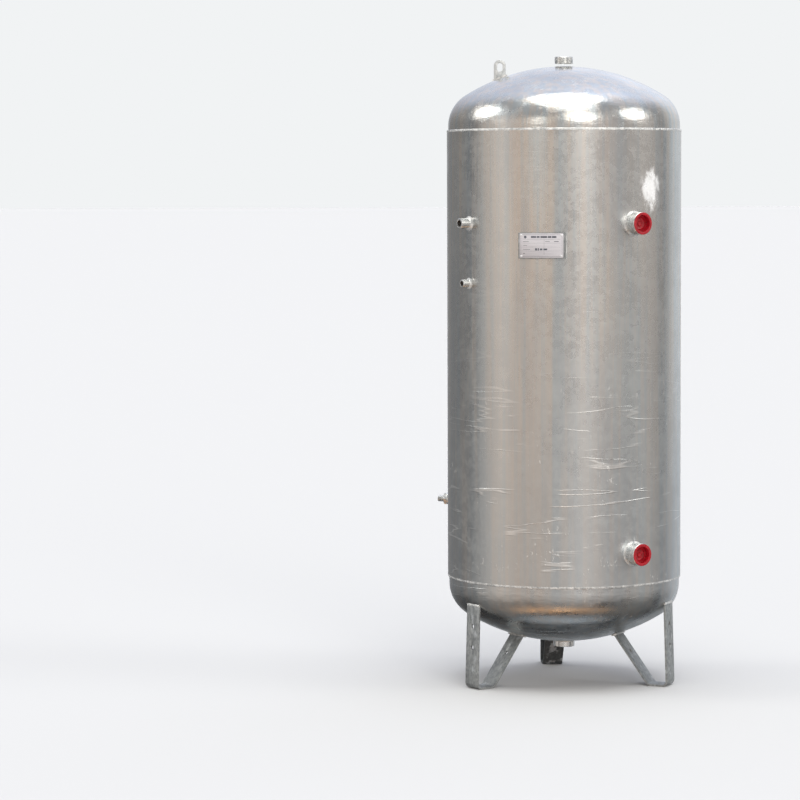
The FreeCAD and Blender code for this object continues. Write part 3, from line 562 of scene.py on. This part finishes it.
def makeSocket(name, sizes):
    node = name + "_socket"
    axis = Vector(mounts[sizes["port"]]["axis"])
    start = Vector((0, 0, 0 if name == "drain" else mounts[sizes["port"]]["pos_m"][2]))
    place = Matrix.Translation(start) @ portPlace(axis)
    low, high, outer = measured(node, place)
    bottom, face = low.z, high.z
    minor = sizes["minor"]
    major = minor + sizes["depth"]
    pilot = sizes.get("pilot")
    # an instrument socket is tapped for part of its depth, with a narrower pilot hole behind the thread
    threadFoot = face - mounts[sizes["port"]]["dims"]["length_mm"] / 1000 - 0.0015 if pilot else bottom
    mesh = cutThread(major, minor, sizes["pitch"], threadFoot, face, major + 0.0001, major + 0.0004)
    ring = openRing(mesh, face)
    inner = openRing(mesh, threadFoot)
    if pilot:
        inner = growRing(mesh, inner, pilot, threadFoot - 0.001)
        inner = growRing(mesh, inner, pilot, bottom)
    chamfer = socketTurning["chamfer"]
    for radius, height in ((outer - chamfer, face), (outer, face - chamfer), (outer, bottom)):
        ring = growRing(mesh, ring, radius, height)
    bmesh.ops.bridge_loops(mesh, edges=ring + inner)
    # the thread faces in the bore take the dark thread finish, which paints the bore's shade
    for face in mesh.faces:
        if all(vert.co.to_2d().length < major + 0.0003 for vert in face.verts):
            face.material_index = 1
    finishPiece(name.title().replace("_", "") + "Socket", mesh, place, [fittingFinish, threadAndBoreShadeFinish], "tank",
                [node])
    return place, outer


ringWeld = {
    "ripplePitch": 0.007,
    "rippleDepth": 0.0007,
    "swellDepth": 0.0007,
    "filletSteps": 8,
    "fullness": 0.75,       # below 1 makes the fillet fuller than a round one
    "size": 0.985,          # the share of the CAD fillet that it fills
    "under": 0.0008,        # how far it reaches into the sheet
    "inside": 0.0004,       # and into the socket
}


def makeRingWeld(name, node, place, inner, surface):
    # a fillet ring, turned flat and then laid on the shell or head by the surface's own height
    low, high, outer = measured(node, place)
    leg = outer - inner
    rise = high.z - surface(0, inner)
    r = ringWeld
    outline = [(inner - r["inside"], -r["under"])]
    for step in range(r["filletSteps"] + 1):
        turn = math.pi / 2 * step / r["filletSteps"]
        outline.append((inner + leg * r["size"] * (1 - math.sin(turn)) ** r["fullness"],
                        rise * r["size"] * (1 - math.cos(turn)) ** r["fullness"]))
    outline[1] = (outer - 0.0003, -r["under"])
    outline.append((inner - r["inside"], rise * r["size"]))
    ripples = max(9, round(math.tau * (inner + leg / 2) / r["ripplePitch"]))
    mesh = lathe(outline, ripples * 6)
    for vert in mesh.verts:
        radius, angle = vert.co.to_2d().length, math.atan2(vert.co.y, vert.co.x)
        height = vert.co.z
        if radius > inner and height > -0.0005:
            across = 2 * (radius - inner) / leg - 1
            valley = 1 - fishScale(angle * (inner + leg / 2), across,
                                   math.tau * (inner + leg / 2) / ripples)
            swell = 0.5 + 0.5 * noise.noise(Vector((math.cos(angle) * 3, math.sin(angle) * 3, inner * 900)))
            share = 1 - (r["rippleDepth"] * valley + r["swellDepth"] * swell) / leg
            radius = inner + (radius - inner) * share
            height = height * share
        flat = Vector((math.cos(angle), math.sin(angle), 0)) * radius
        vert.co = flat + Vector((0, 0, height + surface(flat.x, flat.y)))
    finishPiece(name, mesh, place, [weldFinish], "tank", [node], 60)


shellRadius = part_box("shell")[1].x
headShape = {"crownRadius": 0.5932, "topHole": 0.030}


def crownDrop(across, along):
    # how far a head's crown falls away from its middle
    crown = headShape["crownRadius"]
    return crown - math.sqrt(crown ** 2 - across ** 2 - along ** 2)


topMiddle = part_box("top_head")[1].z + crownDrop(headShape["topHole"], 0)


def onShell(across, along):
    return math.sqrt(shellRadius ** 2 - across ** 2)


def onTopHead(across, along):
    return topMiddle - crownDrop(across, along)


def onBottomHead(across, along):
    return -(drainHeadFace + crownDrop(across, along))


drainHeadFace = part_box("drain_socket")[1].z - 0.010    # the socket's stub ends 6 mm inside a 4 mm head
for name, sizes in socketSizes.items():
    place, outer = makeSocket(name, sizes)
    makeRingWeld(name.title().replace("_", "") + "Weld", name + "_socket_weld", place, outer,
                 onBottomHead if name == "drain" else onShell)
print("sockets made")


# Top nipple: a threaded end above a plain neck

nippleShape = {"pitch": 0.002309, "root": 0.02833, "neck": 0.0284, "bore": 0.026, "threadLength": 0.022}


def makeNipple():
    n = nippleShape
    place = Matrix.Identity(4)
    low, high, outer = measured("top_nipple", place)
    top, threadFoot = high.z, high.z - n["threadLength"]
    mesh = cutThread(n["root"], outer, n["pitch"], threadFoot, top, n["root"] - 0.0001,
                     n["root"] - 0.0003, 96)
    ring, foot = openRing(mesh, top), openRing(mesh, threadFoot)
    for radius, height in ((n["bore"] + 0.0008, top), (n["bore"], top - 0.0008), (n["bore"], low.z),
                           (n["neck"], low.z), (n["neck"], threadFoot - 0.0004)):
        ring = growRing(mesh, ring, radius, height)
    bmesh.ops.bridge_loops(mesh, edges=ring + foot)
    finishPiece("topNipple", mesh, place, [fittingFinish], "tank", ["top_nipple"])
    makeRingWeld("topNippleWeld", "top_nipple_weld", place, n["neck"], onTopHead)


makeNipple()


# Red plastic caps pushed into the outlets: a ribbed cup with a rolled rim

capShape = {"wall": 0.002, "floor": 0.002, "roll": 0.0008, "ribs": 12, "ribWidth": 0.0016,
            "ribDepth": 0.0011, "hubRadius": 0.0075, "hubHeight": 0.0022, "ringRadius": 0.017}


def makeCap(name, node, port, body):
    c = capShape
    place = Matrix.Translation((0, 0, mounts[port]["pos_m"][2])) @ portPlace(mounts[port]["axis"])
    low, high, outer = measured(node, place)
    face = measured(node.replace("_cap", "_socket"), place)[1].z
    cup = socketSizes[node.replace("_cap", "")]["minor"] - 0.0003
    inner, floor = cup - c["wall"], low.z + c["floor"]
    outline = [(0, low.z), (cup - 0.0006, low.z), (cup, low.z + 0.0006), (cup, face + 0.0003),
               (outer, face + 0.0003), (outer, high.z), (inner, high.z), (inner - 0.0004, floor),
               (c["ringRadius"] + 0.0010, floor), (c["ringRadius"], floor + 0.0008),
               (c["ringRadius"] - 0.0010, floor),
               (c["hubRadius"] + 0.0006, floor), (c["hubRadius"], floor + c["hubHeight"]),
               (c["hubRadius"] - 0.0014, floor + c["hubHeight"]), (c["hubRadius"] - 0.0020, floor + 0.0009),
               (0, floor + 0.0009)]
    mesh = lathe(outline, 96, closed=False)
    softenEdges(mesh, c["roll"], 3, 50,
                lambda edge: all(vert.co.z > face and vert.co.to_2d().length > inner - 0.0003
                                 for vert in edge.verts))
    softenEdges(mesh, 0.0003, 2, 40, lambda edge: all(vert.co.z < floor + 0.004 for vert in edge.verts))
    height = (high.z - floor) * 0.72
    for step in range(c["ribs"]):
        # upright ribs inside the cup, rounded at the top
        rib = bmesh.ops.create_cube(mesh, size=1)["verts"]
        bmesh.ops.scale(mesh, vec=(c["ribDepth"] * 2, c["ribWidth"], height), verts=rib)
        edges = list({edge for vert in rib for edge in vert.link_edges})
        made = bmesh.ops.bevel(mesh, geom=edges, offset=0.0004, offset_type="OFFSET", segments=2,
                               profile=0.5, affect="EDGES", material=-1)["verts"]
        verts = list({vert for vert in made} | {vert for vert in rib if vert.is_valid})
        turn = Matrix.Rotation(math.tau * (step + 0.5) / c["ribs"], 4, "Z")
        bmesh.ops.transform(mesh, verts=verts, matrix=turn @ Matrix.Translation(
            (inner - 0.0003, 0, floor + height / 2 - 0.0002)))
    finishPiece(name, mesh, place, [capFinish], body, [node], 40)


makeCap("upperOutletCap", "upper_outlet_cap", "upper_outlet_port", "upper_cap")
makeCap("lowerOutletCap", "lower_outlet_cap", "lower_outlet_port", "lower_cap")


# Inlet adapter: a hexagon on a threaded end for the hose's nut

adapterShape = {"flats": 0.036, "hexLength": 0.010, "endLength": 0.022, "pitch": 0.001814, "root": 0.009294,
                "bore": 0.007, "hexChamfer": 0.0012}


def makeAdapter():
    a = adapterShape
    port = mounts["inlet_hose_end"]
    place = Matrix.Translation((0, 0, port["pos_m"][2])) @ portPlace(port["axis"])
    low, high, outer = measured("inlet_adapter", place)
    hexTop = high.z - a["endLength"]
    hexFoot = hexTop - a["hexLength"]
    stub = socketSizes["inlet"]["minor"] - 0.00015
    corner = a["flats"] / 2 / math.cos(math.pi / 6)
    crest = port["dims"]["r_mm"] / 1000
    mesh = cutThread(a["root"], crest, a["pitch"], hexTop + 0.001, high.z, a["root"] - 0.0001,
                     a["root"] - 0.0003)
    ring, foot = openRing(mesh, high.z), openRing(mesh, hexTop + 0.001)
    hexRings = (hexFoot + a["hexChamfer"], hexTop - a["hexChamfer"])
    for radius, height in ((a["bore"] + 0.0006, high.z), (a["bore"], high.z - 0.0006), (a["bore"], low.z),
                           (stub, low.z), (stub, hexFoot), (a["flats"] / 2 - 0.0002, hexFoot),
                           (corner, hexRings[0]), (corner, hexRings[1]), (a["flats"] / 2 - 0.0002, hexTop),
                           (a["root"] - 0.0001, hexTop)):
        ring = growRing(mesh, ring, radius, height)
    bmesh.ops.bridge_loops(mesh, edges=ring + foot)
    for vert in mesh.verts:
        if vert.co.to_2d().length > a["flats"] / 2:
            angle = math.atan2(vert.co.y, vert.co.x)
            flat = a["flats"] / 2 / math.cos(angle % (math.pi / 3) - math.pi / 6)
            vert.co = Vector((math.cos(angle), math.sin(angle), 0)) * flat + Vector((0, 0, vert.co.z))
    finishPiece("inletAdapter", mesh, place, [fittingFinish], "tank", ["inlet_adapter"], 20)


makeAdapter()
print("fittings and caps made")


# Nameplate with generic printed rows, its rivets and its bracket

plateShape = {"corner": 0.003, "edge": 0.0002, "ink": 0.00006, "dot": 0.0042, "dotPlace": (-0.051, 0.0265)}
# printed marks in millimetres from the plate's middle: left, right, bottom, top
plateMarks = {
    "border": [(-65, 65, 33.6, 34.2), (-65, 65, -34.2, -33.6), (-65, -64.4, -34, 34), (64.4, 65, -34, 34)],
    "heading": [(-33, -17, 24, 29.5), (-15, -6, 24, 29.5), (-3, 18, 24, 29.5), (20, 31, 24, 29.5),
                (33, 47, 24, 29.5)],
    "rules": [(-60, 60, 19.6, 20.1), (-60, 60, 7.6, 7.9), (-60, 60, -4.4, -4.1), (-60, 60, -16.4, -16.1),
              (8, 8.4, -28, 19.6)],
    "labels": [(-58, -40, 12, 13), (12, 26, 12, 13), (40, 54, 11.6, 13.6), (-58, -45, 0, 1),
               (-58, -36, -12, -11), (-58, -52, -24.5, -23)],
    "stamped": [(-20, -14, -15, -8), (-12, -8, -15, -8), (-5, 3, -14, -9), (6, 18, -14, -9)],
}


def makeNameplate():
    low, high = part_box("nameplate")
    middle = (low + high) / 2
    place = portPlace((middle.x, middle.y, 0))
    low, high, outer = measured("nameplate", place)
    size, middle = high - low, (low + high) / 2
    mesh = bmesh.new()
    bmesh.ops.create_cube(mesh, size=1)
    bmesh.ops.scale(mesh, vec=size, verts=mesh.verts)
    upright = [edge for edge in mesh.edges if abs(edge.verts[0].co.z - edge.verts[1].co.z) > size.z / 2]
    bmesh.ops.bevel(mesh, geom=upright, offset=plateShape["corner"], offset_type="OFFSET", segments=5,
                    profile=0.5, affect="EDGES", material=-1)
    softenEdges(mesh, plateShape["edge"], 2, 60)
    front = size.z / 2
    for group in plateMarks.values():
        for left, right, bottom, top in group:
            mark = bmesh.ops.create_cube(mesh, size=1)["verts"]
            markSize = ((right - left) / 1000, (top - bottom) / 1000, plateShape["ink"] * 2)
            bmesh.ops.scale(mesh, vec=markSize, verts=mark)
            bmesh.ops.translate(mesh, vec=((left + right) / 2000, (bottom + top) / 2000, front), verts=mark)
            for face in {face for vert in mark for face in vert.link_faces}:
                face.material_index = 1
    dot = bmesh.ops.create_cone(mesh, cap_ends=True, segments=32, radius1=plateShape["dot"],
                                radius2=plateShape["dot"], depth=plateShape["ink"] * 2)["verts"]
    bmesh.ops.translate(mesh, vec=(*plateShape["dotPlace"], front), verts=dot)
    for face in {face for vert in dot for face in vert.link_faces}:
        face.material_index = 1
    bmesh.ops.translate(mesh, vec=middle, verts=mesh.verts)
    finishPiece("nameplateSheet", mesh, place, [plateFinish, inkFinish], "tank", ["nameplate"])
    for number in range(1, 5):
        node = f"nameplate_rivet_{number}"
        makeRivet(f"nameplateRivet{number}", node, place)


def makeRivet(name, node, place):
    low, high, outer = measured(node, place)
    middle = (low + high) / 2
    head = (high.x - low.x) / 2
    shank = head / 2
    plateFront = measured("nameplate", place)[1].z
    rise = high.z - plateFront
    outline = [(0, low.z), (shank, low.z), (shank, plateFront), (head, plateFront),
               (head, plateFront + 0.2 * rise)]
    for step in range(1, 9):
        turn = math.pi / 2 * step / 8
        outline.append((head * math.cos(turn) + 0.00001, plateFront + rise * (0.2 + 0.8 * math.sin(turn))))
    # the pulled pin leaves a small dimple in the middle of the head
    outline[-1] = (head * 0.22, plateFront + rise)
    outline += [(head * 0.18, plateFront + rise * 0.7), (0, plateFront + rise * 0.7)]
    mesh = lathe(outline, 40, closed=False)
    finishPiece(name, mesh, place @ Matrix.Translation((middle.x, middle.y, 0)), [rivetFinish], "tank",
                [node])


makeNameplate()
print("nameplate made")


# Flat-bar pieces: the CAD's own shape with its edges eased

def easedCopy(name, node, width, finish, angle=35):
    mesh = bmesh.new()
    mesh.from_mesh(frame["nodes"][node].data)
    bmesh.ops.remove_doubles(mesh, verts=mesh.verts, dist=1e-6)
    bmesh.ops.dissolve_limit(mesh, angle_limit=math.radians(1.0), use_dissolve_boundaries=False,
                             verts=mesh.verts, edges=mesh.edges, delimit={"NORMAL"})
    softenEdges(mesh, width, 2, angle)
    return finishPiece(name, mesh, Matrix.Identity(4), [finish], "tank", [node], 25)


# mesh size, size of the lumps and ripples, and depth, in metres
smallWeld = {"cell": 0.0016, "lump": 0.007, "ripple": 0.0026, "depth": 0.0009}


def rippledCopy(name, node):
    # a small weld from the CAD, with the ripples and lumps of its run sunk into its faces
    mesh = bmesh.new()
    mesh.from_mesh(frame["nodes"][node].data)
    bmesh.ops.remove_doubles(mesh, verts=mesh.verts, dist=1e-6)
    bmesh.ops.triangulate(mesh, faces=mesh.faces)
    for _ in range(6):
        long = [edge for edge in mesh.edges if edge.calc_length() > smallWeld["cell"]]
        if not long:
            break
        bmesh.ops.subdivide_edges(mesh, edges=long, cuts=1)
        bmesh.ops.triangulate(mesh, faces=[face for face in mesh.faces if len(face.verts) > 3])
    mesh.normal_update()
    depths = []
    for vert in mesh.verts:
        lump = 0.5 + 0.5 * noise.noise(vert.co / smallWeld["lump"])
        ripple = 0.5 + 0.5 * noise.noise(vert.co / smallWeld["ripple"])
        depths.append(smallWeld["depth"] * (0.6 * lump + 0.4 * ripple))
    moves = [vert.normal * depth for vert, depth in zip(mesh.verts, depths)]
    for vert, move in zip(mesh.verts, moves):
        vert.co -= move
    finishPiece(name, mesh, Matrix.Identity(4), [weldFinish], "tank", [node], 60)


for leg in ("rear", "front_left", "front_right"):
    # painted shade: the rear leg takes the darker copy of the bar zinc
    legFinish = rearShadeFinish if leg == "rear" else barFinish
    easedCopy(leg.title().replace("_", "") + "Leg", leg + "_leg", 0.0007, legFinish)
easedCopy("liftingEye", "lifting_eye", 0.0009, eyeLitFinish)
easedCopy("nameplateBracket", "nameplate_bracket", 0.0003, barFinish)
for node in ("rear_strip_weld", "front_left_strip_weld", "front_right_strip_weld", "rear_brace_weld",
             "front_left_brace_weld", "front_right_brace_weld", "bracket_weld_left", "bracket_weld_right",
             "lifting_eye_weld"):
    title = node.title().replace("_", "")
    rippledCopy(title[0].lower() + title[1:], node)
print("legs, eye and bracket made")


# Floor, light and camera

studio = {
    "floor": "cfd0d1",
    "backdrop": "f1f3f4",
    "floorSize": 480.0,
    "cameraHeight": 1.5893,
    "cameraDistance": 10.049,
    "cameraTurn": 3.0136,    # degrees to the left, below the horizon, and of roll
    "cameraTilt": 3.8914,
    "cameraRoll": -0.217,
    "lens": 140.42,
}
# the studio's brightness from straight below (0) to straight above (1)
skyRamp = ((0.0, 0.04), (0.20, 0.07), (0.38, 0.22), (0.56, 0.25), (0.75, 0.34), (1.0, 0.50))
# soft panels round the tank: compass angle from the camera's side (to the right is positive), elevation, the
# half-angle of the full light and of its soft edge, strength and colour
panels = {
    "overhead": (10, 84, 16, 10, 3.4, "fffdf8"),
    "overheadFront": (14, 58, 9, 10, 2.2, "fffdf8"),
    "windowFront": (18, 24, 10, 9, 2.4, "fffaf2"),
    "windowLow": (-24, 13, 4, 7, 1.4, "fffaf2"),
    "windowRight": (24, 13, 4, 7, 1.1, "fffaf2"),
    "leftHigh": (-92, 29, 6, 11, 4.0, "fffdf8"),
    "leftLow": (-66, 14, 5, 8, 0.5, "fff2e6"),
    "rightHigh": (78, 25, 7, 9, 4.0, "fffdf8"),
    "skyBehind": (180, 48, 14, 38, 0.52, "d6dfff"),
    "skyBehindRight": (122, 60, 8, 26, 0.36, "e0e8ff"),
    "wallLeft": (-74, -4, 8, 18, 0.38, "ffefe0"),
    "wallFrontLeft": (-42, -4, 8, 28, 0.39, "ffe9d8"),
    "wallFront": (5, -6, 6, 24, 0.29, "fff3ea"),
    "wallFrontRight": (38, -4, 8, 26, 0.37, "ffefe4"),
    "wallRight": (86, 0, 6, 24, 0.30, "fff6ee"),
    "wallBackRight": (158, 0, 12, 36, 0.56, "eaf0f6"),
    "floorFront": (0, -31, 12, 20, 0.26, "fff8f2"),
    "floorUnder": (180, -83, 9, 18, 0.50, "e8eef4"),
    "floorLeft": (-80, -40, 12, 24, 0.20, "efe9e2"),
    "floorRight": (84, -40, 12, 22, 0.16, "efe9e2"),
}


# the sunlit edge of a floor far in front: lowest and highest elevation, softness, strength and colour
litEdge = (-58.0, -50.0, 4.0, 1.15, "ffc48c")


def makeWorld():
    world = bpy.data.worlds.new("studio")
    bpy.context.scene.world = world
    world.use_nodes = True
    tree = world.node_tree
    tree.nodes.clear()
    direction = addNode(tree, "TexCoord").outputs["Generated"]
    up = addNode(tree, "SeparateXYZ", {"Vector": direction}).outputs["Z"]
    ramp = addNode(tree, "ValToRGB", {"Fac": spread(up, -1.0, 1.0)})
    for number, (position, grey) in enumerate(skyRamp):
        stop = ramp.color_ramp.elements[number] if number < 2 else ramp.color_ramp.elements.new(position)
        stop.position, stop.color = position, (grey, grey, grey * 1.02, 1)
    light = ramp.outputs[0]
    for turn, rise, full, edge, strength, colour in panels.values():
        turn, rise = math.radians(turn), math.radians(rise)
        aim = (math.sin(turn) * math.cos(rise), -math.cos(turn) * math.cos(rise), math.sin(rise))
        near = addNode(tree, "VectorMath", {0: direction, 1: aim}, operation="DOT_PRODUCT").outputs["Value"]
        mask = spread(near, math.cos(math.radians(full + edge)), math.cos(math.radians(full)))
        tint = [channel * strength for channel in toLinear(colour)[:3]] + [1.0]
        light = blended(mask, light, tint, "ADD")
    lowest, highest, soft, strength, colour = litEdge
    heights = [math.sin(math.radians(angle)) for angle in (lowest - soft, lowest, highest, highest + soft)]
    band = combined("MULTIPLY", spread(up, heights[0], heights[1]),
                    spread(up, heights[2], heights[3], 1.0, 0.0))
    forward = (-0.1, -1.0, 0.0)
    ahead = addNode(tree, "VectorMath", {0: direction, 1: forward}, operation="DOT_PRODUCT").outputs["Value"]
    band = combined("MULTIPLY", band, spread(ahead, 0.12, 0.50))
    light = blended(band, light, [channel * strength for channel in toLinear(colour)[:3]] + [1.0], "ADD")
    seen = addNode(tree, "LightPath").outputs["Is Camera Ray"]
    studioLight = addNode(tree, "Background", {"Color": light, "Strength": 1.0}).outputs[0]
    backdrop = addNode(tree, "Background",
                       {"Color": toLinear(studio["backdrop"]), "Strength": 1.0}).outputs[0]
    mixed = addNode(tree, "MixShader", {0: seen, 1: studioLight, 2: backdrop}).outputs[0]
    addNode(tree, "OutputWorld", {"Surface": mixed})


def makeFloor():
    mesh = bmesh.new()
    bmesh.ops.create_grid(mesh, x_segments=1, y_segments=1, size=studio["floorSize"] / 2)
    data = bpy.data.meshes.new("floor")
    mesh.to_mesh(data)
    mesh.free()
    material, tree, shader, place = startMaterial("studioFloor", Roughness=0.9)
    shader.inputs["Specular IOR Level"].default_value = 0.0
    shader.inputs["Base Color"].default_value = toLinear(studio["floor"])
    data.materials.append(material)
    floor = bpy.data.objects.new("studioFloor", data)
    bpy.context.scene.collection.objects.link(floor)
    floor.visible_glossy = False    # the tank mirrors the studio, not the bright floor


def makeCamera():
    camera = bpy.data.cameras.new("camera")
    camera.lens, camera.sensor_width = studio["lens"], 36
    holder = bpy.data.objects.new("camera", camera)
    bpy.context.scene.collection.objects.link(holder)
    turned = (Matrix.Rotation(math.radians(studio["cameraTurn"]), 4, "Z")
              @ Matrix.Rotation(math.radians(90 - studio["cameraTilt"]), 4, "X")
              @ Matrix.Rotation(math.radians(studio["cameraRoll"]), 4, "Z"))
    holder.matrix_world = Matrix.Translation((0, -studio["cameraDistance"], studio["cameraHeight"])) @ turned
    bpy.context.scene.camera = holder


makeWorld()
makeFloor()
makeCamera()
bpy.context.scene.view_settings.view_transform = "Standard"
print("studio made")
